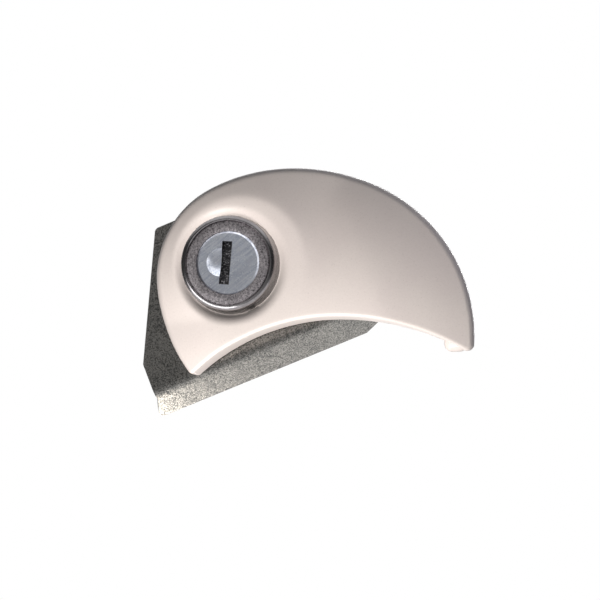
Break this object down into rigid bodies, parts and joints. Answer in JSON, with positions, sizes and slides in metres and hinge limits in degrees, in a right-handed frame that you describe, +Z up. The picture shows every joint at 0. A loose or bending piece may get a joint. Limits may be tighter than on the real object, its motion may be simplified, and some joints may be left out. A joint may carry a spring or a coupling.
{
  "type": "crescent flap lock",
  "caption": "Key-locked crescent handle that swings on a folded steel bracket and is held at either end of its swing by a sliding bolt.",
  "frame": {"origin": "on the axis of the handle's swing, in the back plane of the bracket's plate", "axes": "+X to the right and +Z up as seen from the front, +Y into the wall, so the lock faces -Y"},
  "size_m": [0.0906, 0.0243, 0.0661],
  "materials": {
    "galvanised_steel": "galvanised sheet, matt with a faint grain",
    "cream_enamel": "smooth satin enamel on a zinc casting",
    "bright_steel": "turned bright steel",
    "spring_steel": "blued spring steel",
    "nylon": "moulded, matt",
    "buffer_rubber": "moulded, matt",
    "housing_zinc": "zinc casting, bead blasted, matt",
    "bezel_chrome": "bright chrome plate",
    "nut_zinc": "bright zinc plate",
    "plug_nickel": "nickel plate, brushed face",
    "shutter_black": "blackened steel",
    "wafer_brass": "stamped brass",
    "spring_wire": "drawn stainless wire",
    "bolt_steel": "ground steel"
  },
  "bodies": {
    "bracket": {"mounting_bracket": "galvanised_steel", "stop_pin": "bright_steel", "glide_washer": "nylon", "disc_spring": "spring_steel", "thrust_washer": "bright_steel"},
    "handle": {"cover": "cream_enamel", "tip_buffer": "buffer_rubber", "lock_housing": "housing_zinc", "head_gasket": "buffer_rubber", "bezel": "bezel_chrome", "index_pin": "bright_steel", "tooth_washer": "nut_zinc", "housing_nut": "nut_zinc", "retaining_ring": "spring_steel", "end_cap": "housing_zinc", "end_cap_screws": "bright_steel"},
    "plug": {"plug": "plug_nickel", "plug_face": "plug_nickel", "plug_ring": "spring_steel", "shutter_pin": "bright_steel", "shutter_spring": "spring_wire", "wafer_spring_1": "spring_wire", "wafer_spring_2": "spring_wire", "wafer_spring_3": "spring_wire", "wafer_spring_4": "spring_wire", "wafer_spring_5": "spring_wire"},
    "shutter": {"dust_shutter": "shutter_black"},
    "bolt": {"locking_bolt": "bolt_steel"},
    "wafer_1": {"wafer_1": "wafer_brass"},
    "wafer_2": {"wafer_2": "wafer_brass"},
    "wafer_3": {"wafer_3": "wafer_brass"},
    "wafer_4": {"wafer_4": "wafer_brass"},
    "wafer_5": {"wafer_5": "wafer_brass"}
  },
  "joints": [
    {"name": "handle_swing", "type": "hinge", "parent": "bracket", "child": "handle", "pos_m": [0, 0, 0], "axis": [0, -1, 0], "range_deg": [0, 90]},
    {"name": "key_turn", "type": "hinge", "parent": "handle", "child": "plug", "pos_m": [0, 0, 0], "axis": [0, 1, 0], "range_deg": [0, 90]},
    {"name": "bolt_slide", "type": "slide", "parent": "handle", "child": "bolt", "axis": [1, 0, 0], "range_m": [0, 0.00283]},
    {"name": "shutter_flap", "type": "hinge", "parent": "plug", "child": "shutter", "pos_m": [-0.00289, -0.0141, 0.00024], "axis": [0.0819, 0, 0.9966], "range_deg": [0, 80], "stiffness_Nm_per_rad": 0.0002, "springref_deg": -20.05},
    {"name": "wafer_slide_1", "type": "slide", "parent": "plug", "child": "wafer_1", "axis": [0.0819, 0, 0.9966], "range_m": [-0.0005, 0.0007], "stiffness_N_per_m": 50, "deforming": ["wafer_spring_1"]},
    {"name": "wafer_slide_2", "type": "slide", "parent": "plug", "child": "wafer_2", "axis": [0.0819, 0, 0.9966], "range_m": [-0.0005, 0.0007], "stiffness_N_per_m": 50, "deforming": ["wafer_spring_2"]},
    {"name": "wafer_slide_3", "type": "slide", "parent": "plug", "child": "wafer_3", "axis": [0.0819, 0, 0.9966], "range_m": [-0.0005, 0.0007], "stiffness_N_per_m": 50, "deforming": ["wafer_spring_3"]},
    {"name": "wafer_slide_4", "type": "slide", "parent": "plug", "child": "wafer_4", "axis": [0.0819, 0, 0.9966], "range_m": [-0.0005, 0.0007], "stiffness_N_per_m": 50, "deforming": ["wafer_spring_4"]},
    {"name": "wafer_slide_5", "type": "slide", "parent": "plug", "child": "wafer_5", "axis": [0.0819, 0, 0.9966], "range_m": [-0.0005, 0.0007], "stiffness_N_per_m": 50, "deforming": ["wafer_spring_5"]}
  ],
  "couplings": [
    {"joint": "bolt_slide", "follows": "key_turn", "m_per_rad": 0.0018006}
  ]
}
